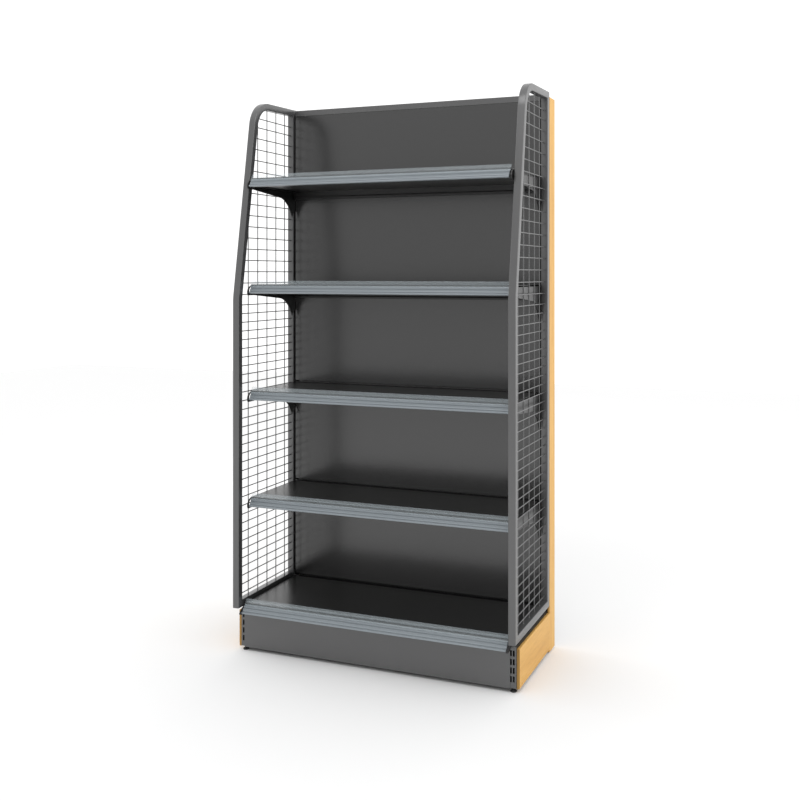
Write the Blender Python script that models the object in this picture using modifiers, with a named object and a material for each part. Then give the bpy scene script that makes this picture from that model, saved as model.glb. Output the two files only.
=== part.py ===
"""Gondola shelving unit: a single-sided wall bay with mesh side frames.

Lengths below are millimetres. X runs across the bay, depths are measured
backwards from the front face of the side frames, heights from the floor.
"""
import bpy
import bmesh
import math

# ---- overall -------------------------------------------------------------
TOTAL_DEPTH = 505.0
HALF_BAY = 500.0
HEIGHT = 1998.0

# ---- uprights, legs, feet ------------------------------------------------
POST_WIDTH = 30.0
POST_FRONT = 434.0
POST_BACK = 504.0
POST_BOTTOM = 14.5
POST_TOP = 1984.0
POST_WALL = 2.0
SLOT_PITCH = 64.07
SLOT_COUNT = 27
SLOT_HEIGHT = 20.0
SLOT_WIDTH = 4.6
SLOT_OFFSET = 5.0
LEG_FRONT = 44.0
LEG_TOP = 150.5
LEG_OUT = 512.8
LEG_SLOT_HEIGHT = 19.5
LEG_SLOT_PITCH = 27.9
LEG_SLOT_LOWEST = 43.7
LEG_SLOT_WIDTH = 6.0
LEG_SLOT_COLUMNS = (494.2, 503.8)
FOOT_RADIUS = 11.0
FOOT_FRONT_Y = 56.0
FOOT_REAR_Y = 469.0
STEM_RADIUS = 5.0
STEM_PLAY = 0.1
NUT_RADIUS = 9.8
NUT_HEIGHT = 8.0
STEM_SIDES = 16
STEM_HOLE = (STEM_RADIUS + STEM_PLAY) / math.cos(math.pi / STEM_SIDES)

# ---- kick plate ----------------------------------------------------------
KICK_FRONT = 42.0
KICK_LEFT = -497.0
KICK_RIGHT = 492.0
KICK_LOW = 13.3
KICK_TOP = 138.4

# ---- shelves -------------------------------------------------------------
SHELF_PITCH = 384.4
SHELF_LOWEST = 516.0
BASE_STRIP_Z = 143.2
SHELF_FRONT = 48.7
BASE_FRONT = 5.0
DECK_REAR = 401.0
DECK_HALF = 488.5
DECK_RISE = 31.5
DECK_THICK = 26.0
DECK_SHEET = 1.5
STRIP_HALF = 485.0
BASE_STRIP_HALF = 489.0
LEAN_SHELF = 17.5
LEAN_BASE = 23.0
RISER_HALF = 487.5
BASE_RISER_HALF = 489.0
BLADE_IN = 493.75
BLADE_OUT = 496.25
NOSE_IN = 490.5
NOSE_OUT = 494.5

# ---- panels --------------------------------------------------------------
PANEL_FRONT = 416.0
PANEL_BACK = 433.4
PANEL_HALF = 492.5
PANEL_SEAM = 6.0
TONGUE_HALF = 484.0

# ---- side frames and mesh ------------------------------------------------
TUBE = 25.0
FRAME_OUT = 522.5
FRAME_IN = 497.5
FRAME_BACK = 432.0
FRAME_BOTTOM = 162.0
KNEE_Z = 1270.0
ARC_Y = 111.0
ARC_Z = 1904.0
ARC_RADIUS = 108.0
CROWN = 6.0
FRAME_LIFT = {"left": 0.0, "right": 5.8}
LUG_ROWS = (0, 9, 19)
WIRE = 3.6
ROW_X = 509.6
COLUMN_X = 506.8
FINE_PITCH = 31.43
FINE_TOP = 1242.6
FINE_ROWS = 34
WIDE_PITCH = 41.03
WIDE_BOTTOM = 1280.3
WIDE_ROWS = 16
TOP_ROW = 1929.5
COLUMNS = (80.3, 148.2, 216.0, 283.8, 351.7)


# ---- set-up --------------------------------------------------------------
def clear_scene():
    for item in list(bpy.data.objects):
        bpy.data.objects.remove(item, do_unlink=True)


def new_collection(name, hidden):
    group = bpy.data.collections.new(name)
    bpy.context.scene.collection.children.link(group)
    group.hide_render = hidden
    return group


def new_material(name, colour, roughness, metallic, alpha=1.0):
    mat = bpy.data.materials.new(name)
    mat.use_nodes = True
    shader = mat.node_tree.nodes["Principled BSDF"]
    shader.inputs["Base Color"].default_value = (colour[0], colour[1], colour[2], 1.0)
    shader.inputs["Roughness"].default_value = roughness
    shader.inputs["Metallic"].default_value = metallic
    shader.inputs["Alpha"].default_value = alpha
    return mat


clear_scene()
PARTS = new_collection("gondola_shelving_unit", False)
CUTTERS = new_collection("cutters", True)

FRAME_PAINT = new_material("frame_paint", (0.135, 0.137, 0.138), 0.45, 0.0)
SHELF_PAINT = new_material("shelf_paint", (0.030, 0.030, 0.032), 0.40, 0.0)
PANEL_PAINT = new_material("panel_paint", (0.085, 0.085, 0.087), 0.50, 0.0)
STRIP_PLASTIC = new_material("strip_plastic", (0.270, 0.300, 0.330), 0.35, 0.0)
CLEAR_PLASTIC = new_material("clear_plastic", (0.850, 0.880, 0.900), 0.08, 0.0, 0.35)
BEECH = new_material("beech_board", (0.820, 0.500, 0.200), 0.50, 0.0)
BLACK_PLASTIC = new_material("black_plastic", (0.015, 0.015, 0.016), 0.55, 0.0)
ZINC = new_material("zinc_steel", (0.550, 0.560, 0.570), 0.35, 1.0)


# ---- mesh helpers --------------------------------------------------------
def add_box(bm, x0, x1, y0, y1, z0, z1):
    made = bmesh.ops.create_cube(bm, size=1.0)
    for vert in made["verts"]:
        vert.co.x = x0 + (vert.co.x + 0.5) * (x1 - x0)
        vert.co.y = y0 + (vert.co.y + 0.5) * (y1 - y0)
        vert.co.z = z0 + (vert.co.z + 0.5) * (z1 - z0)


def add_cylinder(bm, x, y, z0, z1, radius, segments):
    made = bmesh.ops.create_cone(bm, cap_ends=True, segments=segments, radius1=radius,
                                 radius2=radius, depth=z1 - z0)
    bmesh.ops.translate(bm, vec=(x, y, (z0 + z1) / 2.0), verts=made["verts"])


def add_side_prism(bm, outline, x0, x1):
    """Outline of (depth, height) points drawn out from x0 to x1."""
    ring = [bm.verts.new((x0, y, z)) for y, z in outline]
    face = bm.faces.new(ring)
    made = bmesh.ops.extrude_face_region(bm, geom=[face])
    moved = [v for v in made["geom"] if isinstance(v, bmesh.types.BMVert)]
    bmesh.ops.translate(bm, vec=(x1 - x0, 0.0, 0.0), verts=moved)


def finish(name, bm, material, group):
    bmesh.ops.remove_doubles(bm, verts=bm.verts[:], dist=0.001)
    bmesh.ops.translate(bm, vec=(0.0, -TOTAL_DEPTH / 2.0, 0.0), verts=bm.verts[:])
    bmesh.ops.scale(bm, vec=(0.001, 0.001, 0.001), verts=bm.verts[:])
    bmesh.ops.recalc_face_normals(bm, faces=bm.faces[:])
    mesh = bpy.data.meshes.new(name)
    bm.to_mesh(mesh)
    bm.free()
    obj = bpy.data.objects.new(name, mesh)
    group.objects.link(obj)
    if material is not None:
        mesh.materials.append(material)
    return obj


def part(name, bm, material):
    return finish(name, bm, material, PARTS)


def cutter(name, bm):
    obj = finish(name, bm, None, CUTTERS)
    obj.hide_render = True
    obj.display_type = "WIRE"
    return obj


def combine(obj, tool, operation):
    mod = obj.modifiers.new(operation.lower(), "BOOLEAN")
    mod.operation = operation
    mod.solver = "EXACT"
    mod.object = tool


def bevel(obj, width, segments, angle=60.0):
    mod = obj.modifiers.new("soft_edges", "BEVEL")
    mod.width = width * 0.001
    mod.segments = segments
    mod.limit_method = "ANGLE"
    mod.angle_limit = math.radians(angle)


def slot_bottom(row):
    """Height of the lower end of a post slot, counted up from row 0."""
    return SHELF_LOWEST + 4.0 + (row - 5) * SLOT_PITCH


def mirrored(side, a, b):
    """Order two outward distances for the left (-1) or right (+1) side."""
    return (a, b) if side > 0 else (-b, -a)


# ---- posts, legs and feet ------------------------------------------------
def build_upright(name, side):
    bm = bmesh.new()
    x0, x1 = mirrored(side, HALF_BAY - POST_WIDTH / 2, HALF_BAY + POST_WIDTH / 2)
    add_box(bm, x0, x1, POST_FRONT, POST_BACK, POST_BOTTOM, POST_TOP)
    obj = part(name, bm, FRAME_PAINT)
    hollow = bmesh.new()
    add_box(hollow, x0 + POST_WALL, x1 - POST_WALL, POST_FRONT + POST_WALL,
            POST_BACK - POST_WALL, POST_BOTTOM + 3.0, POST_TOP + 5.0)
    combine(obj, cutter(name + "_hollow", hollow), "DIFFERENCE")
    slots = bmesh.new()
    for row in range(SLOT_COUNT):
        bottom = slot_bottom(row)
        for centre in (-SLOT_OFFSET, SLOT_OFFSET):
            middle = side * HALF_BAY + centre
            add_box(slots, middle - SLOT_WIDTH / 2, middle + SLOT_WIDTH / 2,
                    POST_FRONT - 2.0, POST_FRONT + POST_WALL + 1.0, bottom, bottom + SLOT_HEIGHT)
    add_cylinder(slots, side * HALF_BAY, FOOT_REAR_Y, POST_BOTTOM - 2.0, POST_BOTTOM + 5.0,
                 STEM_HOLE, STEM_SIDES)
    combine(obj, cutter(name + "_slots", slots), "DIFFERENCE")


def build_base_leg(name, side):
    bm = bmesh.new()
    x0, x1 = mirrored(side, HALF_BAY - POST_WIDTH / 2, LEG_OUT)
    add_box(bm, x0, x1, LEG_FRONT, POST_FRONT - 0.6, POST_BOTTOM, LEG_TOP)
    obj = part(name, bm, FRAME_PAINT)
    hollow = bmesh.new()
    add_box(hollow, x0 + POST_WALL, x1 - POST_WALL, LEG_FRONT + POST_WALL,
            POST_FRONT + 5.0, POST_BOTTOM + 3.0, LEG_TOP - POST_WALL)
    combine(obj, cutter(name + "_hollow", hollow), "DIFFERENCE")
    slots = bmesh.new()
    for row in range(4):
        middle_z = LEG_SLOT_LOWEST + row * LEG_SLOT_PITCH
        for column in LEG_SLOT_COLUMNS:
            middle = side * column
            add_box(slots, middle - LEG_SLOT_WIDTH / 2, middle + LEG_SLOT_WIDTH / 2,
                    LEG_FRONT - 2.0, LEG_FRONT + 3.0,
                    middle_z - LEG_SLOT_HEIGHT / 2, middle_z + LEG_SLOT_HEIGHT / 2)
    add_cylinder(slots, side * HALF_BAY, FOOT_FRONT_Y, POST_BOTTOM - 2.0, POST_BOTTOM + 5.0,
                 STEM_HOLE, STEM_SIDES)
    combine(obj, cutter(name + "_slots", slots), "DIFFERENCE")


def build_levelling_foot(name, side, depth):
    """Turned pad and stem, with the object's origin on the stem's axis."""
    outline = [(0.0, 49.0), (STEM_RADIUS - 1.0, 49.0), (STEM_RADIUS, 48.0), (STEM_RADIUS, 7.0),
               (FOOT_RADIUS - 3.0, 6.5), (FOOT_RADIUS, 4.0), (FOOT_RADIUS, 1.0),
               (FOOT_RADIUS - 1.0, 0.0), (0.0, 0.0)]
    bm = bmesh.new()
    points = [bm.verts.new((radius * 0.001, 0.0, height * 0.001)) for radius, height in outline]
    for start, end in zip(points, points[1:]):
        bm.edges.new((start, end))
    mesh = bpy.data.meshes.new(name)
    bm.to_mesh(mesh)
    bm.free()
    mesh.materials.append(BLACK_PLASTIC)
    obj = bpy.data.objects.new(name, mesh)
    obj.location = (side * HALF_BAY * 0.001, (depth - TOTAL_DEPTH / 2.0) * 0.001, 0.0)
    PARTS.objects.link(obj)
    turn = obj.modifiers.new("turned", "SCREW")
    turn.axis = "Z"
    turn.angle = math.tau
    turn.steps = STEM_SIDES
    turn.render_steps = STEM_SIDES
    turn.use_merge_vertices = True
    turn.merge_threshold = 0.00001


def build_foot_nut(name, side, depth):
    """Hexagon nut lying on the bottom wall, around the foot's stem."""
    low = POST_BOTTOM + 3.3
    bm = bmesh.new()
    add_cylinder(bm, side * HALF_BAY, depth, low, low + NUT_HEIGHT, NUT_RADIUS, 6)
    obj = part(name, bm, ZINC)
    hole = bmesh.new()
    add_cylinder(hole, side * HALF_BAY, depth, low - 2.0, low + NUT_HEIGHT + 2.0,
                 STEM_HOLE, STEM_SIDES)
    combine(obj, cutter(name + "_hole", hole), "DIFFERENCE")


# ---- kick plate ----------------------------------------------------------
def build_kick_plate(name):
    bm = bmesh.new()
    sheet = 1.2
    add_box(bm, KICK_LEFT, KICK_RIGHT, KICK_FRONT, KICK_FRONT + sheet, KICK_LOW, KICK_TOP)
    obj = part(name, bm, FRAME_PAINT)
    lips = bmesh.new()
    near = KICK_FRONT + 0.4
    wall = KICK_FRONT + 1.0
    far = KICK_FRONT + 12.0
    outline = [(near, KICK_LOW), (far, KICK_LOW), (far, KICK_LOW + sheet), (wall, KICK_LOW + sheet),
               (wall, KICK_TOP - sheet), (far, KICK_TOP - sheet), (far, KICK_TOP), (near, KICK_TOP)]
    add_side_prism(lips, outline, -484.2, 484.2)
    combine(obj, cutter(name + "_lips", lips), "UNION")


# ---- decks ---------------------------------------------------------------
def deck_outline(front, top):
    under = top - DECK_THICK
    rear = DECK_REAR
    return [(front, under), (rear - 1.6, under), (rear - 1.6, under - 19.0),
            (rear - 2.8, under - 20.5), (rear - 1.6, under - 22.0), (rear - 3.6, under - 23.4),
            (rear - 3.6, under - 30.0), (rear, under - 30.0), (rear, top - 0.8),
            (rear - 0.8, top), (front + 1.2, top), (front, top - 1.2)]


def base_outline(front, top):
    under = 151.2
    return [(front, under), (DECK_REAR, under), (DECK_REAR, top - 0.8),
            (DECK_REAR - 0.8, top), (front + 1.2, top), (front, top - 1.2)]


def build_deck(name, front, top, outline, under):
    bm = bmesh.new()
    add_side_prism(bm, outline, -DECK_HALF, DECK_HALF)
    obj = part(name, bm, SHELF_PAINT)
    hollow = bmesh.new()
    add_box(hollow, -DECK_HALF - 5.0, DECK_HALF + 5.0, front + DECK_SHEET,
            DECK_REAR - DECK_SHEET, under + DECK_SHEET, top - DECK_SHEET)
    combine(obj, cutter(name + "_hollow", hollow), "DIFFERENCE")


# ---- brackets ------------------------------------------------------------
def bracket_outline(low):
    """Tapered arm with a hollow curve down to the post and two hooks."""
    arm = [(88.0, low - 7.0), (262.0, low - 21.0)]
    centre_y = 262.0
    centre_z = low - 151.0
    for step in range(1, 8):
        angle = math.radians(84.0 - step * 8.4)
        arm.append((centre_y + 14.0 + 127.0 * math.cos(angle), centre_z + 130.0 * math.sin(angle)))
    arm += [(402.0, low - 71.0), (433.6, low - 71.0), (433.6, low - 68.0)]
    arm += hook(low - SLOT_PITCH + 4.4)
    arm += hook(low + 4.4)
    arm += [(433.6, low + 26.0), (88.0, low + 26.0)]
    return arm


def hook(bottom):
    return [(433.6, bottom), (436.4, bottom), (436.4, bottom - 6.0), (439.4, bottom - 6.0),
            (440.4, bottom + 8.0), (433.6, bottom + 8.0)]


def nose_outline(low):
    """Front plate of the bracket: upright below, curving back to the deck."""
    return [(96.0, low - 8.0), (56.0, low - 8.0), (52.5, low - 5.0), (51.5, low),
            (52.0, low + 8.0), (54.5, low + 14.0), (59.0, low + 19.0), (66.0, low + 24.0),
            (76.0, low + 28.0), (96.0, low + 28.0)]


def nose_window(low):
    return [(59.5, low + 3.0), (79.0, low + 3.0), (83.0, low + 8.0), (84.0, low + 22.0),
            (81.0, low + 24.5), (76.0, low + 24.5), (68.5, low + 21.5), (62.5, low + 16.0),
            (60.0, low + 10.0)]


def build_bracket(name, side, low):
    bm = bmesh.new()
    x0, x1 = mirrored(side, BLADE_IN, BLADE_OUT)
    add_side_prism(bm, bracket_outline(low), x0, x1)
    obj = part(name, bm, SHELF_PAINT)
    nose = bmesh.new()
    x0, x1 = mirrored(side, NOSE_IN, NOSE_OUT)
    add_side_prism(nose, nose_outline(low), x0, x1)
    combine(obj, cutter(name + "_nose", nose), "UNION")
    ledge = bmesh.new()
    x0, x1 = mirrored(side, 474.0, BLADE_IN + 1.0)
    add_box(ledge, x0, x1, 98.0, 392.0, low + 3.0, low + 5.0)
    combine(obj, cutter(name + "_ledge", ledge), "UNION")
    window = bmesh.new()
    x0, x1 = mirrored(side, NOSE_IN - 1.0, BLADE_OUT + 2.0)
    add_side_prism(window, nose_window(low), x0, x1)
    combine(obj, cutter(name + "_window", window), "DIFFERENCE")


# ---- ticket strips and clear risers --------------------------------------
def strip_outline(front, low, lean):
    """Leaning front face with raised beads, a rolled lower lip and a web."""
    def face(height, proud):
        return (front + lean * (height - 3.0) / 28.0 - proud, low + height)
    rows = [face(4.0, 0.0), face(7.0, 0.0), face(7.8, 0.9), face(9.2, 0.9), face(10.0, 0.0),
            face(15.0, 0.0), face(15.8, 0.9), face(17.2, 0.9), face(18.0, 0.0),
            face(29.5, 0.0)]
    lip = [(front + 11.0, low - 2.4), (front + 4.5, low - 1.0), (front + 1.0, low + 1.0)]
    back = [(front + lean + 1.0, low + 30.0), (front + lean * 0.62 + 2.6, low + 16.0),
            (front + lean + 1.4, low + 16.0), (front + lean + 1.4, low + 13.6),
            (front + lean * 0.5 + 2.4, low + 13.6), (front + 4.6, low + 2.6),
            (front + 11.0, low + 0.2)]
    return lip + rows + back


def build_strip(name, front, low, lean, half):
    bm = bmesh.new()
    add_side_prism(bm, strip_outline(front, low, lean), -half, half)
    part(name, bm, STRIP_PLASTIC)


def build_riser(name, front, low, lean, half):
    top_y = front + lean + 10.0
    outline = [(front + lean - 0.4, low + 30.6), (front + lean + 2.4, low + 31.9),
               (front + lean + 26.0, low + 31.9), (front + lean + 26.0, low + 33.4),
               (front + lean + 3.6, low + 33.4), (top_y + 1.4, low + 45.6), (top_y - 0.6, low + 46.2)]
    bm = bmesh.new()
    add_side_prism(bm, outline, -half, half)
    part(name, bm, CLEAR_PLASTIC)


def build_base_end_cap(name, side):
    outline = [(1.0, 141.0), (0.3, 146.5), (42.0, 173.8), (58.0, 173.8), (58.0, 151.5),
               (40.4, 151.5), (40.4, 146.6), (14.0, 139.0)]
    x0, x1 = mirrored(side, 489.6, 496.4)
    bm = bmesh.new()
    add_side_prism(bm, outline, x0, x1)
    part(name, bm, BLACK_PLASTIC)


# ---- back panels and rails -----------------------------------------------
def build_panel(name, low, high, half, tongue):
    """Sheet with returns all round; a tongue closes the seam behind the panel below."""
    sheet = 1.2
    outline = [(PANEL_FRONT, low), (PANEL_BACK, low), (PANEL_BACK, low + sheet),
               (PANEL_FRONT + sheet, low + sheet), (PANEL_FRONT + sheet, high - sheet),
               (PANEL_BACK, high - sheet), (PANEL_BACK, high), (PANEL_FRONT, high)]
    bm = bmesh.new()
    add_side_prism(bm, outline, -half, half)
    obj = part(name, bm, PANEL_PAINT)
    if not tongue:
        head = bmesh.new()
        add_side_prism(head, [(PANEL_FRONT, LEG_TOP + 1.0), (PANEL_FRONT + sheet, LEG_TOP + 1.0),
                              (PANEL_FRONT + sheet, high - sheet), (PANEL_BACK, high - sheet),
                              (PANEL_BACK, high), (PANEL_FRONT, high)], -PANEL_HALF, PANEL_HALF)
        combine(obj, cutter(name + "_head", head), "UNION")
    if tongue:
        sides = bmesh.new()
        for edge in (-half, half - sheet):
            add_box(sides, edge, edge + sheet, PANEL_FRONT, PANEL_BACK, low, high)
        combine(obj, cutter(name + "_sides", sides), "UNION")
        lap = bmesh.new()
        step = PANEL_BACK + 0.4
        add_side_prism(lap, [(PANEL_BACK - 1.4, low + 0.3), (step, low + 0.3), (step, low - 9.0),
                             (step + 1.4, low - 9.0), (step + 1.4, low + 0.9),
                             (PANEL_BACK - 1.4, low + 0.9)], -TONGUE_HALF, TONGUE_HALF)
        combine(obj, cutter(name + "_tongue", lap), "UNION")


def build_top_cap(name):
    outline = [(414.6, 1972.5), (416.2, 1972.5), (416.2, 1991.9), (503.0, 1991.9),
               (503.0, 1984.8), (504.6, 1984.8), (504.6, 1993.5), (414.6, 1993.5)]
    bm = bmesh.new()
    add_side_prism(bm, outline, -PANEL_HALF, PANEL_HALF)
    part(name, bm, FRAME_PAINT)


def build_tie(name, low):
    outline = [(446.0, low), (476.0, low), (476.0, low + 2.0), (448.0, low + 2.0),
               (448.0, low + 38.0), (476.0, low + 38.0), (476.0, low + 40.0), (446.0, low + 40.0)]
    bm = bmesh.new()
    add_side_prism(bm, outline, -484.6, 484.6)
    part(name, bm, FRAME_PAINT)


# ---- side frames ---------------------------------------------------------
def frame_loop(inset, lift):
    """Side outline of the tube loop, shrunk inwards by inset and raised by lift."""
    lean = math.atan2(ARC_Y, ARC_Z - KNEE_Z)
    knee = inset * math.tan(lean / 2.0)
    points = [(FRAME_BACK - inset, FRAME_BOTTOM + inset), (inset, FRAME_BOTTOM + inset)]
    points.append((inset, KNEE_Z + knee))
    centre_y = ARC_Y + ARC_RADIUS * math.cos(lean)
    centre_z = HEIGHT - CROWN - ARC_RADIUS
    radius = ARC_RADIUS - inset
    turns = 8
    for step in range(turns + 1):
        angle = math.pi - lean - (math.pi / 2.0 - lean) * step / turns
        points.append((centre_y + radius * math.cos(angle), centre_z + radius * math.sin(angle)))
    points.append((FRAME_BACK - inset, HEIGHT - inset))
    return [(y, z + lift) for y, z in points]


def build_side_frame(name, side, lift):
    """Bent tube loop with lugs that hook into the outer row of post slots."""
    x0, x1 = mirrored(side, FRAME_IN, FRAME_OUT)
    bm = bmesh.new()
    add_side_prism(bm, frame_loop(0.0, lift), x0, x1)
    obj = part(name, bm, FRAME_PAINT)
    inner = bmesh.new()
    add_side_prism(inner, frame_loop(TUBE, lift), x0 - 5.0, x1 + 5.0)
    combine(obj, cutter(name + "_inside", inner), "DIFFERENCE")
    bevel(obj, 3.0, 2)
    lugs = bmesh.new()
    centre = HALF_BAY + SLOT_OFFSET
    x0, x1 = mirrored(side, centre - 1.25, centre + 1.25)
    for row in LUG_ROWS:
        low = slot_bottom(row) + 0.4
        root = FRAME_BACK - 4.0
        outline = [(root, low)] + hook(low) + [(root, low + 8.0)]
        add_side_prism(lugs, outline, x0, x1)
    combine(obj, cutter(name + "_lugs", lugs), "UNION")


def inner_front(height, lift):
    """Depth of the inside edge of the front member at a height."""
    loop = frame_loop(TUBE, lift)
    for (ya, za), (yb, zb) in zip(loop[1:], loop[2:]):
        if za <= height <= zb:
            return ya + (yb - ya) * (height - za) / (zb - za)
    return loop[-1][0]


def inner_top(depth, lift):
    """Height of the underside of the slanted or top member at a depth."""
    loop = frame_loop(TUBE, lift)
    for (ya, za), (yb, zb) in zip(loop[2:], loop[3:]):
        if ya <= depth <= yb:
            return za + (zb - za) * (depth - ya) / (yb - ya)
    return HEIGHT - TUBE + lift


def row_heights(lift):
    rows = [FINE_TOP - step * FINE_PITCH for step in range(FINE_ROWS)]
    rows += [WIDE_BOTTOM + step * WIDE_PITCH for step in range(WIDE_ROWS)]
    rows.append(TOP_ROW)
    return [row + lift for row in rows]


def build_side_mesh(name, side, lift):
    half = WIRE / 2.0
    bm = bmesh.new()
    x0, x1 = mirrored(side, ROW_X - half, ROW_X + half)
    for height in row_heights(lift):
        start = max(inner_front(height - half, lift), inner_front(height + half, lift)) + 0.4
        add_box(bm, x0, x1, start, FRAME_BACK - TUBE - 0.4, height - half, height + half)
    obj = part(name, bm, FRAME_PAINT)
    columns = bmesh.new()
    x0, x1 = mirrored(side, COLUMN_X - half, COLUMN_X + half)
    for depth in COLUMNS:
        top = min(inner_top(depth - half, lift), inner_top(depth + half, lift)) - 0.4
        add_box(columns, x0, x1, depth - half, depth + half, FRAME_BOTTOM + TUBE + lift + 0.4, top)
    combine(obj, cutter(name + "_columns", columns), "UNION")


# ---- boards --------------------------------------------------------------
def build_board(name, side, near, far, y0, y1, z0, z1):
    x0, x1 = mirrored(side, near, far)
    bm = bmesh.new()
    add_box(bm, x0, x1, y0, y1, z0, z1)
    obj = part(name, bm, BEECH)
    bevel(obj, 0.3, 1)


# ---- assembly ------------------------------------------------------------
SIDES = (("left", -1), ("right", 1))

for label, sign in SIDES:
    build_upright("upright_" + label, sign)
    build_base_leg("base_leg_" + label, sign)
    for place, foot_depth in (("front", FOOT_FRONT_Y), ("rear", FOOT_REAR_Y)):
        build_levelling_foot("foot_" + place + "_" + label, sign, foot_depth)
        build_foot_nut("foot_nut_" + place + "_" + label, sign, foot_depth)
    build_side_frame("side_frame_" + label, sign, FRAME_LIFT[label])
    build_side_mesh("side_mesh_" + label, sign, FRAME_LIFT[label])
    build_board("post_board_" + label, sign, 515.5, 523.0, 432.5, 505.0, 4.0, 1986.0)
    build_board("base_board_" + label, sign, 513.2, 523.0, 47.0, 432.2, 12.5, 143.0)
    build_base_end_cap("base_end_cap_" + label, sign)

build_kick_plate("kick_plate")
BASE_TOP = BASE_STRIP_Z + DECK_RISE
BASE_DECK_FRONT = BASE_FRONT + LEAN_BASE + 2.0
build_deck("base_deck", BASE_DECK_FRONT, BASE_TOP, base_outline(BASE_DECK_FRONT, BASE_TOP), 151.2)
build_strip("base_strip", BASE_FRONT, BASE_STRIP_Z, LEAN_BASE, BASE_STRIP_HALF)
build_riser("base_riser", BASE_FRONT, BASE_STRIP_Z, LEAN_BASE, BASE_RISER_HALF)

DECK_TOPS = [BASE_TOP]
for index in range(4):
    number = str(4 - index)
    base = SHELF_LOWEST + index * SHELF_PITCH
    deck_front = SHELF_FRONT + LEAN_SHELF + 2.0
    deck_top = base + DECK_RISE
    DECK_TOPS.append(deck_top)
    build_deck("deck_" + number, deck_front, deck_top, deck_outline(deck_front, deck_top),
               deck_top - DECK_THICK)
    build_strip("strip_" + number, SHELF_FRONT, base, LEAN_SHELF, STRIP_HALF)
    build_riser("riser_" + number, SHELF_FRONT, base, LEAN_SHELF, RISER_HALF)
    for label, sign in SIDES:
        build_bracket("bracket_" + number + "_" + label, sign, base)

build_panel("panel_base", 20.0, DECK_TOPS[0] - 0.5, 484.4, False)
for index in range(5):
    lower = DECK_TOPS[index] + PANEL_SEAM
    upper = DECK_TOPS[index + 1] - 0.5 if index < 4 else 1971.8
    build_panel("panel_" + str(5 - index), lower, upper, PANEL_HALF, True)
build_top_cap("top_cap")
build_tie("tie_lower", 60.0)
build_tie("tie_upper", 1900.0)
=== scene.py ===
"""Looks for the gondola shelving unit: round wires, bent tubes, profiled strips and their materials."""
import math

import bmesh
import bpy
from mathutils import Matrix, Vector


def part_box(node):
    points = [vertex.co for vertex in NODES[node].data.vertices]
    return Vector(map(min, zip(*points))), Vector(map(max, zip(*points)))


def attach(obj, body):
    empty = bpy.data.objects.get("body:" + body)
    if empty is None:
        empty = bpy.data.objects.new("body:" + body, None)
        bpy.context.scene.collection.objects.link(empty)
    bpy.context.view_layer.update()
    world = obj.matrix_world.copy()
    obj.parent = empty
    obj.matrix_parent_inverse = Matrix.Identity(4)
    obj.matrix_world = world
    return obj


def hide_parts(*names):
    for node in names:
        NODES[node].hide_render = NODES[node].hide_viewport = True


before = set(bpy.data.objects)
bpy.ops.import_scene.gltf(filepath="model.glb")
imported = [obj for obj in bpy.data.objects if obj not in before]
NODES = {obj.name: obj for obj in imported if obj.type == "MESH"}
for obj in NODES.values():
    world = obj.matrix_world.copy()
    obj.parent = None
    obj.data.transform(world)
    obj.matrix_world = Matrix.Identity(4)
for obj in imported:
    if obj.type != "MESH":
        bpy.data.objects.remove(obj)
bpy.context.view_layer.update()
MM = 0.001
SIDES = (("left", -1.0), ("right", 1.0))
SHELVES = ("1", "2", "3", "4")


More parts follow.
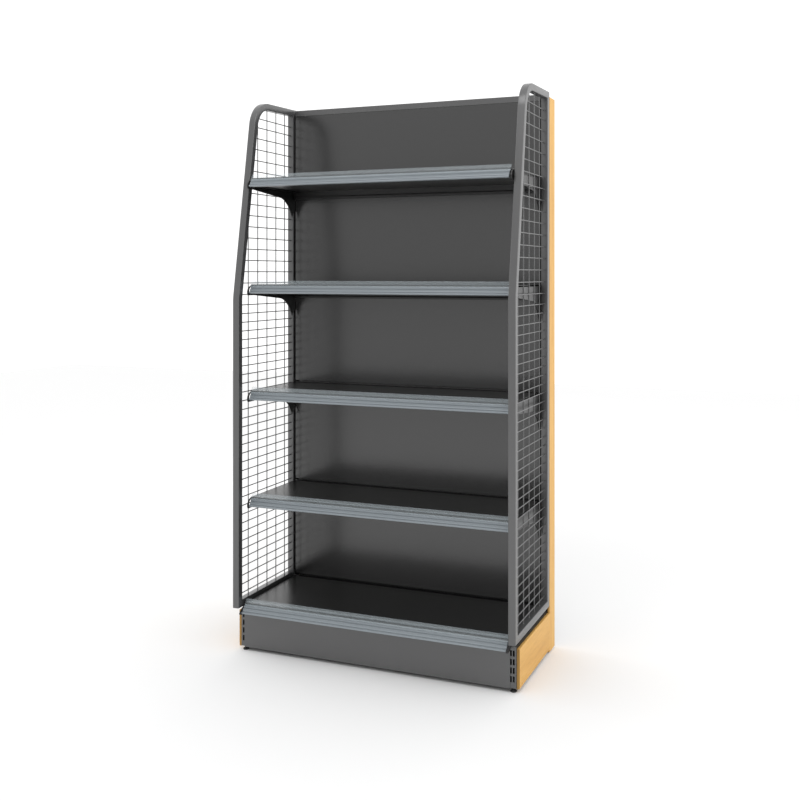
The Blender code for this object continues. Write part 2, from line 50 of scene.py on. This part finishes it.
# ---- node material helpers -----------------------------------------------
class Painter:
    """Builds one node material step by step."""

    def __init__(self, name):
        self.material = bpy.data.materials.new(name)
        self.material.use_nodes = True
        self.tree = self.material.node_tree
        self.shader = self.tree.nodes["Principled BSDF"]
        self.coords = self.tree.nodes.new("ShaderNodeTexCoord").outputs["Object"]

    def node(self, kind, **values):
        made = self.tree.nodes.new(kind)
        for key, value in values.items():
            setattr(made, key, value)
        return made

    def link(self, source, target):
        self.tree.links.new(source, target)

    def stretched(self, scale):
        """Object coordinates multiplied by a scale for each axis."""
        mapping = self.node("ShaderNodeMapping")
        mapping.inputs["Scale"].default_value = scale
        self.link(self.coords, mapping.inputs["Vector"])
        return mapping.outputs["Vector"]

    def noise(self, scale, detail=2.0, roughness=0.5, vector=None, distortion=0.0):
        made = self.node("ShaderNodeTexNoise")
        made.inputs["Scale"].default_value = scale
        made.inputs["Detail"].default_value = detail
        made.inputs["Roughness"].default_value = roughness
        made.inputs["Distortion"].default_value = distortion
        self.link(vector if vector is not None else self.coords, made.inputs["Vector"])
        return made.outputs["Fac"]

    def ramp(self, factor, stops):
        """Colour ramp from (position, linear colour) pairs."""
        made = self.node("ShaderNodeValToRGB")
        line = made.color_ramp
        while len(line.elements) < len(stops):
            line.elements.new(0.5)
        for element, (position, colour) in zip(line.elements, stops):
            element.position = position
            element.color = (colour[0], colour[1], colour[2], 1.0)
        self.link(factor, made.inputs["Fac"])
        return made.outputs["Color"]

    def range(self, factor, low, high):
        made = self.node("ShaderNodeMapRange")
        made.inputs["To Min"].default_value = low
        made.inputs["To Max"].default_value = high
        self.link(factor, made.inputs["Value"])
        return made.outputs["Result"]

    def away(self, near, far):
        """Rises from 0 to 1 between two distances from the middle."""
        length = self.node("ShaderNodeVectorMath", operation="LENGTH")
        self.link(self.coords, length.inputs[0])
        made = self.node("ShaderNodeMapRange", interpolation_type="SMOOTHSTEP")
        made.inputs["From Min"].default_value = near
        made.inputs["From Max"].default_value = far
        self.link(length.outputs["Value"], made.inputs["Value"])
        return made.outputs["Result"]

    def mix(self, factor, first, second, blend="MIX"):
        made = self.node("ShaderNodeMix", data_type="RGBA", blend_type=blend)
        if isinstance(factor, float):
            made.inputs["Factor"].default_value = factor
        else:
            self.link(factor, made.inputs["Factor"])
        self.link(first, made.inputs["A"])
        self.link(second, made.inputs["B"])
        return made.outputs["Result"]

    def bump(self, height, strength, distance, below=None):
        made = self.node("ShaderNodeBump")
        made.inputs["Strength"].default_value = strength
        made.inputs["Distance"].default_value = distance
        self.link(height, made.inputs["Height"])
        if below is not None:
            self.link(below, made.inputs["Normal"])
        return made.outputs["Normal"]

    def finish(self, colour, roughness, normal):
        self.link(colour, self.shader.inputs["Base Color"])
        self.link(roughness, self.shader.inputs["Roughness"])
        self.link(normal, self.shader.inputs["Normal"])
        return self.material


def scaled(colour, factor):
    return tuple(channel * factor for channel in colour)


# ---- materials -----------------------------------------------------------
def powder_coat(name, colour, rough_low, rough_high, gloss, grain=700.0):
    """Fine orange-peel paint with slow tone drift; gloss is its index of refraction."""
    paint = Painter(name)
    drift = paint.noise(3.0, 3.0, 0.6)
    tone = paint.ramp(drift, [(0.3, scaled(colour, 0.95)), (0.7, scaled(colour, 1.05))])
    speck = paint.noise(grain * 2.2, 1.0)
    flecks = paint.ramp(speck, [(0.35, (0.93, 0.93, 0.93)), (0.65, (1.07, 1.07, 1.07))])
    tone = paint.mix(1.0, tone, flecks, "MULTIPLY")
    rough = paint.range(paint.noise(grain * 0.5, 3.0), rough_low, rough_high)
    paint.shader.inputs["IOR"].default_value = gloss
    peel = paint.noise(grain, 2.0, 0.6)
    return paint.finish(tone, rough, paint.bump(peel, 0.08, 0.0002))


def extruded_plastic(name, colour):
    """Semi-gloss strip with faint draw lines along its length."""
    paint = Painter(name)
    lines = paint.noise(1.0, 3.0, 0.6, paint.stretched((2.0, 900.0, 900.0)))
    drift = paint.noise(4.0, 2.0)
    tone = paint.ramp(lines, [(0.3, scaled(colour, 0.95)), (0.7, scaled(colour, 1.04))])
    shade = paint.ramp(drift, [(0.3, (0.97, 0.97, 0.98)), (0.7, (1.02, 1.02, 1.02))])
    tone = paint.mix(1.0, tone, shade, "MULTIPLY")
    rough = paint.range(lines, 0.26, 0.38)
    return paint.finish(tone, rough, paint.bump(lines, 0.06, 0.0002))


def clear_plastic(name):
    """Thin clear riser: mostly see-through, with a pale cool haze."""
    paint = Painter(name)
    lines = paint.noise(1.0, 2.0, 0.5, paint.stretched((3.0, 500.0, 500.0)))
    tone = paint.ramp(lines, [(0.3, (0.46, 0.52, 0.55)), (0.7, (0.52, 0.58, 0.61))])
    rough = paint.range(lines, 0.30, 0.40)
    paint.shader.inputs["Alpha"].default_value = 0.17
    paint.shader.inputs["IOR"].default_value = 1.40
    return paint.finish(tone, rough, paint.bump(lines, 0.03, 0.0002))


def beech(name, along, shade=1.0):
    """Pale orange beech laminate, grain running along one axis; a shade factor below 1 gives a darker
    copy, used as painted shade on end faces.
    """
    paint = Painter(name)
    stretch = [34.0, 34.0, 34.0]
    stretch[along] = 2.2
    broad = paint.noise(1.0, 5.0, 0.62, paint.stretched(stretch), 0.6)
    fine_stretch = [420.0, 420.0, 420.0]
    fine_stretch[along] = 26.0
    fine = paint.noise(1.0, 3.0, 0.7, paint.stretched(fine_stretch))
    tone = paint.ramp(broad, [(0.28, scaled((0.590, 0.318, 0.084), shade)),
                              (0.50, scaled((0.670, 0.388, 0.114), shade)),
                              (0.72, scaled((0.730, 0.450, 0.148), shade))])
    pores = paint.ramp(fine, [(0.30, (0.86, 0.82, 0.76)), (0.48, (1.0, 1.0, 1.0)),
                              (0.75, (1.03, 1.03, 1.02))])
    tone = paint.mix(0.8, tone, pores, "MULTIPLY")
    rough = paint.range(broad, 0.42, 0.54)
    paint.shader.inputs["IOR"].default_value = 1.25
    return paint.finish(tone, rough, paint.bump(fine, 0.15, 0.0003))


def moulded_plastic(name, colour, rough):
    paint = Painter(name)
    grain = paint.noise(1400.0, 2.0)
    tone = paint.ramp(grain, [(0.3, scaled(colour, 0.85)), (0.7, scaled(colour, 1.15))])
    return paint.finish(tone, paint.range(grain, rough - 0.06, rough + 0.06),
                        paint.bump(grain, 0.15, 0.0002))


def zinc_plate(name):
    paint = Painter(name)
    patch = paint.noise(160.0, 4.0, 0.65)
    tone = paint.ramp(patch, [(0.3, (0.48, 0.49, 0.50)), (0.7, (0.64, 0.65, 0.66))])
    paint.shader.inputs["Metallic"].default_value = 1.0
    return paint.finish(tone, paint.range(patch, 0.28, 0.42), paint.bump(patch, 0.05, 0.0002))


FRAME_PAINT = powder_coat("graphite_frame_paint", (0.045, 0.045, 0.046), 0.26, 0.34, 1.95)
KICK_PAINT = powder_coat("graphite_kick_paint", (0.050, 0.050, 0.051), 0.28, 0.36, 1.90)
PANEL_PAINT = powder_coat("graphite_panel_paint", (0.013, 0.013, 0.013), 0.19, 0.25, 1.82)
SHELF_PAINT = powder_coat("graphite_shelf_paint", (0.009, 0.009, 0.009), 0.26, 0.34, 1.55)
# Near-black, dull copy of the graphite paint: painted shade on the uprights, seen only in the dark gap
# beside the panels, and on the base legs' side faces.
POST_PAINTED_SHADE = powder_coat("graphite_post_painted_shade", (0.006, 0.006, 0.006), 0.40, 0.50, 1.35)
STRIP = extruded_plastic("blue_grey_strip", (0.228, 0.256, 0.276))
CLEAR = clear_plastic("clear_riser")
BEECH_LONG = beech("beech_grain_along_base", 1)
BEECH_TALL = beech("beech_grain_upright", 2)
# Darker copy of the beech for the base boards' front and rear ends: painted shade on the end faces.
BEECH_END_PAINTED_SHADE = beech("beech_end_grain_painted_shade", 2, 0.56)
BLACK = moulded_plastic("black_moulding", (0.014, 0.014, 0.015), 0.45)
ZINC = zinc_plate("zinc_plate")


# ---- mesh helpers --------------------------------------------------------
def new_piece(name, bm, material, body, replaced=(), smooth_below=40.0):
    """Turns a bmesh into a shown piece that rides on a body."""
    bmesh.ops.recalc_face_normals(bm, faces=bm.faces[:])
    mesh = bpy.data.meshes.new(name)
    bm.to_mesh(mesh)
    bm.free()
    mesh.shade_smooth()
    mesh.set_sharp_from_angle(angle=math.radians(smooth_below))
    mesh.materials.append(material)
    piece = bpy.data.objects.new(name, mesh)
    bpy.context.scene.collection.objects.link(piece)
    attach(piece, body)
    if replaced:
        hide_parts(*replaced)
    return piece


def soften(piece, width, segments=2, angle=35.0):
    mod = piece.modifiers.new("soft_edges", "BEVEL")
    mod.width = width
    mod.segments = segments
    mod.limit_method = "ANGLE"
    mod.angle_limit = math.radians(angle)
    mod.harden_normals = False
    return mod


def keep_node(name, material, width=0.0, segments=2):
    """Gives a CAD node its final material and small rounded edges."""
    node = NODES[name]
    node.data.materials.clear()
    node.data.materials.append(material)
    node.data.shade_smooth()
    node.data.set_sharp_from_angle(angle=math.radians(30.0))
    if width > 0.0:
        soften(node, width, segments)
    return node


def paint_shade_on_sides(node, material):
    """Second paint on the faces that look sideways, used as painted shade where those faces sit in shadow.
    """
    node.data.materials.append(material)
    for face in node.data.polygons:
        if abs(face.normal.x) > 0.9:
            face.material_index = 1


def extrude_outline(bm, outline, x0, x1):
    """Closed outline of (y, z) points drawn out from x0 to x1."""
    near = [bm.verts.new((x0, y, z)) for y, z in outline]
    far = [bm.verts.new((x1, y, z)) for y, z in outline]
    count = len(outline)
    for index in range(count):
        after = (index + 1) % count
        bm.faces.new((near[index], near[after], far[after], far[index]))
    bm.faces.new(near[::-1])
    bm.faces.new(far)


def add_rod(bm, start, end, radius, sides=12):
    """Straight round wire between two points."""
    start = Vector(start)
    end = Vector(end)
    line = (end - start).normalized()
    side = line.orthogonal().normalized()
    other = line.cross(side)
    rings = []
    for point in (start, end):
        ring = []
        for step in range(sides):
            angle = math.tau * step / sides
            ring.append(bm.verts.new(point + radius * (math.cos(angle) * side + math.sin(angle) * other)))
        rings.append(ring)
    for step in range(sides):
        after = (step + 1) % sides
        bm.faces.new((rings[0][step], rings[0][after], rings[1][after], rings[1][step]))
    bm.faces.new(rings[0][::-1])
    bm.faces.new(rings[1])


def lathe(bm, profile, x, y, sides):
    """Turned shape from (radius, height) points, closed at both ends on its axis."""
    rings = []
    for radius, height in profile:
        ring = []
        for step in range(sides):
            angle = math.tau * step / sides
            ring.append(bm.verts.new((x + radius * math.cos(angle), y + radius * math.sin(angle), height)))
        rings.append(ring)
    for low, high in zip(rings, rings[1:]):
        for step in range(sides):
            after = (step + 1) % sides
            bm.faces.new((low[step], low[after], high[after], high[step]))
    bm.faces.new(rings[0][::-1])
    bm.faces.new(rings[-1])


# ---- side frames: one bent square tube with rounded corners ---------------
TUBE = 25.0 * MM
TUBE_CORNER = 2.0 * MM
KNEE_HEIGHT = 1.270
KNEE_RADIUS = 0.180
TOP_OFFSET = 0.111
TOP_SPRING = 1.904
ARC_RADIUS = 0.108
CROWN = 0.006
FRAME_FOOT = 0.162
FRAME_DEPTH = 0.432
ARC_STEPS = 20
KNEE_STEPS = 8


def loop_point(box, inset, place):
    """A point of the tube's side outline, at an inset from its outer edge."""
    low, high = box
    lean = math.atan2(TOP_OFFSET, TOP_SPRING - KNEE_HEIGHT)
    kind, step = place
    if kind == "corner":
        y = low.y + inset if step[0] < 0 else high.y - inset
        z = low.z + inset if step[1] < 0 else high.z - inset
        return y, z
    if kind == "knee":
        radius = KNEE_RADIUS - inset
        reach = KNEE_RADIUS * math.tan(lean / 2.0)
        angle = lean * step / KNEE_STEPS
        centre_y = low.y + KNEE_RADIUS
        centre_z = KNEE_HEIGHT + low.z - FRAME_FOOT - reach
        return centre_y - radius * math.cos(angle), centre_z + radius * math.sin(angle)
    radius = ARC_RADIUS - inset
    centre_y = low.y + TOP_OFFSET + ARC_RADIUS * math.cos(lean)
    angle = math.pi - lean - (math.pi / 2.0 - lean) * step / ARC_STEPS
    return centre_y + radius * math.cos(angle), high.z - CROWN - ARC_RADIUS + radius * math.sin(angle)


def loop_places():
    places = [("corner", (1, -1)), ("corner", (-1, -1))]
    places += [("knee", step) for step in range(KNEE_STEPS + 1)]
    places += [("arc", step) for step in range(ARC_STEPS + 1)]
    places.append(("corner", (1, 1)))
    return places


def tube_section():
    """Rounded square section as (inset share, across share) pairs."""
    corner = TUBE_CORNER / TUBE
    points = []
    for centre, start in (((corner, corner), math.pi), ((1.0 - corner, corner), 1.5 * math.pi),
                          ((1.0 - corner, 1.0 - corner), 0.0), ((corner, 1.0 - corner), 0.5 * math.pi)):
        for step in range(5):
            angle = start + math.pi / 2.0 * step / 4.0
            points.append((centre[0] + corner * math.cos(angle), centre[1] + corner * math.sin(angle)))
    return points


def frame_box(side):
    low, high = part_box("side_frame_" + side)
    rear = low.y + FRAME_DEPTH
    return Vector((low.x, low.y, low.z)), Vector((high.x, rear, high.z))


def build_side_frame(side, sign):
    box = frame_box(side)
    low, high = box
    bm = bmesh.new()
    rings = []
    for place in loop_places():
        ring = []
        for inset, across in tube_section():
            y, z = loop_point(box, inset * TUBE, place)
            ring.append(bm.verts.new((low.x + across * TUBE, y, z)))
        rings.append(ring)
    count = len(rings[0])
    for index, ring in enumerate(rings):
        following = rings[(index + 1) % len(rings)]
        for step in range(count):
            after = (step + 1) % count
            bm.faces.new((ring[step], ring[after], following[after], following[step]))
    new_piece("tube_frame_" + side, bm, FRAME_PAINT, "root",
              ["side_frame_" + side], 50.0)
    build_lugs(side, sign, high.y)


SLOT_LOWEST = 0.520
SLOT_PITCH = 0.06407
SLOT_PLAY = 0.0004
LUG_ROWS = (0, 9, 19)
LUG_X = 0.505
LUG_HALF = 0.00125


def build_lugs(side, sign, back):
    """Hook plates behind the rear tube, in the outer post slots."""
    bm = bmesh.new()
    centre = sign * LUG_X
    for row in LUG_ROWS:
        low = SLOT_LOWEST + (row - 5) * SLOT_PITCH + SLOT_PLAY
        outline = [(back - 0.004, low), (back + 0.0044, low), (back + 0.0044, low - 0.006),
                   (back + 0.0074, low - 0.006), (back + 0.0084, low + 0.008), (back - 0.004, low + 0.008)]
        extrude_outline(bm, outline, centre - LUG_HALF, centre + LUG_HALF)
    piece = new_piece("frame_lugs_" + side, bm, FRAME_PAINT, "root")
    soften(piece, 0.0004)


# ---- side mesh: round welded wires ----------------------------------------
WIRE_RADIUS = 1.85 * MM
FINE_TOP = 1.2426
FINE_PITCH = 0.03143
FINE_ROWS = 34
WIDE_BOTTOM = 1.2803
WIDE_PITCH = 0.04103
WIDE_ROWS = 16
TOP_ROW = 1.9295
COLUMN_DEPTHS = (0.0803, 0.1482, 0.2160, 0.2838, 0.3517)
ROW_X = 0.5096
COLUMN_X = 0.5068


def front_edge(box, height):
    """Inner edge of the front tube at a height."""
    points = [loop_point(box, TUBE, place) for place in loop_places()[1:]]
    for (ya, za), (yb, zb) in zip(points, points[1:]):
        if za <= height <= zb and zb > za:
            return ya + (yb - ya) * (height - za) / (zb - za)
    return points[-1][0]


def top_edge(box, depth):
    """Underside of the leaning or top tube at a depth."""
    points = [loop_point(box, TUBE, place) for place in loop_places()[2:]]
    for (ya, za), (yb, zb) in zip(points, points[1:]):
        if ya <= depth <= yb and yb > ya:
            return za + (zb - za) * (depth - ya) / (yb - ya)
    return points[-1][1]


def add_weld(bm, point, direction):
    """Small fillet where a wire meets the tube."""
    tip = Vector(point) + Vector(direction) * 0.0022
    base = Vector(point) - Vector(direction) * 0.0006
    line = (tip - base).normalized()
    side = line.orthogonal().normalized()
    other = line.cross(side)
    rings = []
    for share, radius in ((0.0, 0.0032), (0.35, 0.0026), (1.0, 0.0016)):
        centre = base.lerp(tip, share)
        rings.append([bm.verts.new(centre + radius * (math.cos(math.tau * k / 10) * side
                                                      + math.sin(math.tau * k / 10) * other))
                      for k in range(10)])
    for lower, upper in zip(rings, rings[1:]):
        for step in range(10):
            after = (step + 1) % 10
            bm.faces.new((lower[step], lower[after], upper[after], upper[step]))
    bm.faces.new(rings[0][::-1])
    bm.faces.new(rings[-1])


def build_side_mesh(side, sign):
    box = frame_box(side)
    bm = bmesh.new()
    rows = [FINE_TOP - step * FINE_PITCH for step in range(FINE_ROWS)]
    rows += [WIDE_BOTTOM + step * WIDE_PITCH for step in range(WIDE_ROWS)]
    rows.append(TOP_ROW)
    back = box[1].y - TUBE
    for row in rows:
        height = row + box[0].z - FRAME_FOOT
        front = front_edge(box, height)
        x = sign * ROW_X
        add_rod(bm, (x, front - 0.0005, height), (x, back + 0.0005, height), WIRE_RADIUS)
        add_weld(bm, (x, front, height), (0.0, 1.0, 0.0))
        add_weld(bm, (x, back, height), (0.0, -1.0, 0.0))
    bottom = box[0].z + TUBE
    for depth in COLUMN_DEPTHS:
        y = box[0].y + depth
        top = top_edge(box, y)
        x = sign * COLUMN_X
        add_rod(bm, (x, y, bottom - 0.0005), (x, y, top + 0.0005), WIRE_RADIUS)
        add_weld(bm, (x, y, bottom), (0.0, 0.0, 1.0))
        add_weld(bm, (x, y, top), (0.0, 0.0, -1.0))
    new_piece("wire_grid_" + side, bm, FRAME_PAINT, "root", ["side_mesh_" + side])


# ---- ticket strips and risers ---------------------------------------------
STRIP_BEADS = ((0.4, 0.0), (1.2, 1.1), (2.4, 1.9), (3.6, 2.1), (4.9, 1.7), (5.9, 0.7),
               (6.5, -1.2), (6.8, -2.7), (8.0, -2.7), (8.3, -1.4), (9.6, -0.9), (11.6, -0.8),
               (13.0, -0.9), (13.7, 0.0), (14.5, 1.1), (15.3, 1.3), (16.0, 0.7), (16.5, -1.2),
               (16.8, -2.7), (18.0, -2.7), (18.3, -1.5), (19.4, -0.8), (20.4, 0.2), (21.2, 1.3),
               (22.1, 1.9), (22.9, 1.6), (23.5, 0.5), (23.9, -1.0), (24.2, -2.4))


def strip_face(front, low, lean, height, proud):
    """Point on the leaning face at a height in millimetres, standing proud of it."""
    slope = math.atan2(lean, 28.0)
    return (front + (1.3 + lean * (height - 3.0) / 28.0 - proud * math.cos(slope)) * MM,
            low + (height + proud * math.sin(slope)) * MM)


def strip_outline(front, low, lean):
    """Rolled lower lip, beaded face, recessed seat for the riser and a web."""
    face = [strip_face(front, low, lean, height, proud) for height, proud in STRIP_BEADS]
    face.append(strip_face(front, low, lean, 30.2, -2.4))
    lip = [(front + 11.0 * MM, low - 1.4 * MM), (front + 6.0 * MM, low - 1.2 * MM),
           (front + 2.8 * MM, low - 0.8 * MM), (front + 1.2 * MM, low - 0.1 * MM)]
    back = [strip_face(front, low, lean, 30.2, -3.6), strip_face(front, low, lean, 18.0, -3.2),
            strip_face(front, low, lean, 16.6, -4.6), strip_face(front, low, lean, 14.4, -4.4),
            strip_face(front, low, lean, 13.0, -3.0), (front + 4.8 * MM, low + 2.4 * MM),
            (front + 11.0 * MM, low + 0.2 * MM)]
    return lip + face + back


def build_strip(node, body, lean):
    low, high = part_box(node)
    base = low.z + LIP_DROP
    bm = bmesh.new()
    extrude_outline(bm, strip_outline(STRIP_FRONT[body], base, lean), low.x, high.x)
    new_piece(node.replace("strip", "ticket_strip"), bm, STRIP, body, [node], 50.0)


def riser_outline(front, low, lean):
    """Thin leaning wall seated behind the top bead, with a rolled top and a foot on the deck."""
    wall = [strip_face(front, low, lean, 24.8, -0.6), strip_face(front, low, lean, 43.6, -0.2),
            strip_face(front, low, lean, 44.4, 0.3), strip_face(front, low, lean, 45.2, -0.2),
            strip_face(front, low, lean, 45.4, -1.0), strip_face(front, low, lean, 44.8, -1.9),
            strip_face(front, low, lean, 43.8, -1.6), strip_face(front, low, lean, 34.8, -1.9)]
    foot = [(front + (lean + 26.0) * MM, low + 33.0 * MM), (front + (lean + 26.0) * MM, low + 32.0 * MM),
            strip_face(front, low, lean, 32.0, -2.2), strip_face(front, low, lean, 24.8, -1.9)]
    return wall + foot


def build_riser(node, body, lean):
    low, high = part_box(node)
    bm = bmesh.new()
    outline = riser_outline(STRIP_FRONT[body], STRIP_LOW[body], lean)
    extrude_outline(bm, outline, low.x, high.x)
    new_piece(node.replace("riser", "clear_riser"), bm, CLEAR, body, [node], 40.0)


LEAN_BASE = 23.0
LEAN_SHELF = 17.5
LIP_DROP = 2.4 * MM
MID_DEPTH = 0.2525
BASE_FRONT = 0.005
SHELF_FRONT = 0.0487
STRIP_FRONT = {"base_shelf": BASE_FRONT - MID_DEPTH}
STRIP_LOW = {"base_shelf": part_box("base_strip")[0].z + LIP_DROP}
for number in SHELVES:
    STRIP_FRONT["shelf_" + number] = SHELF_FRONT - MID_DEPTH
    STRIP_LOW["shelf_" + number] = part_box("strip_" + number)[0].z + LIP_DROP


# ---- feet ------------------------------------------------------------------
def build_foot(node):
    """Moulded pad with a grip ring and a threaded stem."""
    low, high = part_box(node)
    x = (low.x + high.x) / 2.0
    y = (low.y + high.y) / 2.0
    pad = (high.x - low.x) / 2.0
    stem = 5.0 * MM
    profile = [(0.0004, 0.0), (pad - 0.0014, 0.0), (pad - 0.0004, 0.0004), (pad, 0.0014),
               (pad, 0.0036), (pad - 0.0006, 0.0046), (pad - 0.0030, 0.0056), (pad - 0.0050, 0.0060),
               (0.0072, 0.0062), (0.0068, 0.0070), (stem, 0.0072)]
    height = 0.0074
    pitch = 0.0015
    while height < high.z - 0.0020:
        profile += [(stem - 0.0007, height), (stem, height + pitch / 2.0)]
        height += pitch
    profile += [(stem - 0.0010, high.z - 0.0004), (0.0004, high.z)]
    bm = bmesh.new()
    lathe(bm, profile, x, y, 40)
    new_piece(node.replace("foot", "levelling_foot"), bm, BLACK, node, [node], 30.0)


# ---- boards ----------------------------------------------------------------
def build_base_board(side):
    """Board with eased edges and a shallow groove above its lower edge."""
    node = "base_board_" + side
    low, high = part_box(node)
    inner, outer = (low.x, high.x) if side == "right" else (high.x, low.x)
    step = math.copysign(1.0, outer - inner)
    ease = 0.0008
    groove = 0.0105
    section = [(inner, low.z + ease), (inner + step * ease, low.z), (outer - step * 0.0022, low.z),
               (outer - step * 0.0006, low.z + 0.0016), (outer - step * 0.0003, low.z + groove - 0.0012),
               (outer - step * 0.0012, low.z + groove), (outer, low.z + groove + 0.0012),
               (outer, high.z - 0.0012), (outer - step * 0.0012, high.z), (inner + step * ease, high.z),
               (inner, high.z - ease)]
    bm = bmesh.new()
    near = [bm.verts.new((x, low.y, z)) for x, z in section]
    far = [bm.verts.new((x, high.y, z)) for x, z in section]
    for index in range(len(section)):
        after = (index + 1) % len(section)
        bm.faces.new((near[index], near[after], far[after], far[index]))
    # End faces take the darker beech copy: painted shade.
    bm.faces.new(near[::-1]).material_index = 1
    bm.faces.new(far).material_index = 1
    piece = new_piece("beech_base_board_" + side, bm, BEECH_LONG, "root", [node], 25.0)
    piece.data.materials.append(BEECH_END_PAINTED_SHADE)


# ---- build -----------------------------------------------------------------
def build_all():
    for side, sign in SIDES:
        build_side_frame(side, sign)
        build_side_mesh(side, sign)
        build_base_board(side)
        keep_node("post_board_" + side, BEECH_TALL, 0.0003, 1)
        # Uprights take the near-black copy: painted shade in the gap behind the rear tubes.
        keep_node("upright_" + side, POST_PAINTED_SHADE, 0.0004, 1)
        # Base legs: frame paint on the front, near-black painted shade on the side faces under the bottom
        # tube.
        paint_shade_on_sides(keep_node("base_leg_" + side, FRAME_PAINT, 0.0004, 1), POST_PAINTED_SHADE)
        keep_node("base_end_cap_" + side, BLACK, 0.0008, 2)
        for place in ("front", "rear"):
            build_foot("foot_" + place + "_" + side)
            keep_node("foot_nut_" + place + "_" + side, ZINC, 0.0006, 2)
        for number in SHELVES:
            keep_node("bracket_" + number + "_" + side, SHELF_PAINT, 0.0004, 2)
    keep_node("kick_plate", KICK_PAINT, 0.0005, 2)
    keep_node("base_deck", SHELF_PAINT, 0.0006, 2)
    build_strip("base_strip", "base_shelf", LEAN_BASE)
    build_riser("base_riser", "base_shelf", LEAN_BASE)
    for number in SHELVES:
        body = "shelf_" + number
        keep_node("deck_" + number, SHELF_PAINT, 0.0006, 2)
        build_strip("strip_" + number, body, LEAN_SHELF)
        build_riser("riser_" + number, body, LEAN_SHELF)
    for number in ("base", "1", "2", "3", "4", "5"):
        keep_node("panel_" + number, PANEL_PAINT, 0.0006, 2)
    keep_node("top_cap", FRAME_PAINT, 0.0005, 2)
    keep_node("tie_lower", FRAME_PAINT, 0.0004, 1)
    keep_node("tie_upper", FRAME_PAINT, 0.0004, 1)


build_all()


# ---- camera, floor and light -------------------------------------------------
CAMERA_PLACE = (1.4515, -3.4534, 1.3578)
CAMERA_TURN = 22.525
CAMERA_LENS = 46.79
CAMERA_SHIFT = -0.1588
FLOOR_HALF = 9.0
WORLD_FRONT = 0.86
WORLD_BACK = 1.20
SIDE_POWER = 24.0
TOP_POWER = 36.0


def build_camera():
    data = bpy.data.cameras.new("camera")
    data.sensor_width = 36.0
    data.lens = CAMERA_LENS
    data.shift_y = CAMERA_SHIFT
    data.clip_end = 100.0
    camera = bpy.data.objects.new("camera", data)
    camera.location = CAMERA_PLACE
    camera.rotation_euler = (math.radians(90.0), 0.0, math.radians(CAMERA_TURN))
    bpy.context.scene.collection.objects.link(camera)
    bpy.context.scene.camera = camera


def build_floor():
    bm = bmesh.new()
    bmesh.ops.create_grid(bm, x_segments=1, y_segments=1, size=FLOOR_HALF)
    mesh = bpy.data.meshes.new("floor")
    bm.to_mesh(mesh)
    bm.free()
    paint = Painter("white_floor_painted_shade")
    drift = paint.noise(0.6, 2.0)
    # Painted shade: the floor is darker (0.83) within 1.4 m of the middle and rises to 0.92 by 3.6 m,
    # deepening the shadow around the unit.
    tone = paint.ramp(paint.away(1.4, 3.6), [(0.0, (0.83, 0.83, 0.83)), (1.0, (0.92, 0.92, 0.92))])
    rough = paint.range(drift, 0.85, 0.95)
    mesh.materials.append(paint.finish(tone, rough, paint.bump(drift, 0.01, 0.0002)))
    paint.shader.inputs["Specular IOR Level"].default_value = 0.1
    floor = bpy.data.objects.new("floor", mesh)
    bpy.context.scene.collection.objects.link(floor)


def area_light(name, place, target, size, power):
    data = bpy.data.lights.new(name, "AREA")
    data.shape = "RECTANGLE"
    data.size = size[0]
    data.size_y = size[1]
    data.energy = power
    lamp = bpy.data.objects.new(name, data)
    lamp.location = place
    lamp.rotation_euler = (Vector(target) - Vector(place)).to_track_quat("-Z", "Y").to_euler()
    bpy.context.scene.collection.objects.link(lamp)


def build_world():
    """White studio surround: bright backdrop, a little dimmer towards the front."""
    world = bpy.data.worlds.new("studio")
    world.use_nodes = True
    tree = world.node_tree
    coords = tree.nodes.new("ShaderNodeTexCoord")
    split = tree.nodes.new("ShaderNodeSeparateXYZ")
    level = tree.nodes.new("ShaderNodeMapRange")
    level.interpolation_type = "SMOOTHSTEP"
    level.inputs["From Min"].default_value = -1.0
    level.inputs["From Max"].default_value = 0.6
    level.inputs["To Min"].default_value = WORLD_FRONT
    level.inputs["To Max"].default_value = WORLD_BACK
    tree.links.new(coords.outputs["Generated"], split.inputs["Vector"])
    tree.links.new(split.outputs["Y"], level.inputs["Value"])
    tree.links.new(level.outputs["Result"], tree.nodes["Background"].inputs["Strength"])
    tree.nodes["Background"].inputs["Color"].default_value = (1.0, 1.0, 1.0, 1.0)
    bpy.context.scene.world = world


def build_light():
    area_light("right_box", (3.2, 0.1, 2.4), (0.0, 0.0, 0.6), (2.0, 2.0), SIDE_POWER)
    area_light("left_box", (-3.2, 0.1, 2.4), (0.0, 0.0, 0.6), (2.0, 2.0), SIDE_POWER)
    area_light("overhead", (0.2, -2.2, 4.5), (0.0, -0.8, 0.0), (2.6, 2.0), TOP_POWER)


build_camera()
build_floor()
build_world()
build_light()
bpy.context.scene.view_settings.view_transform = "Standard"
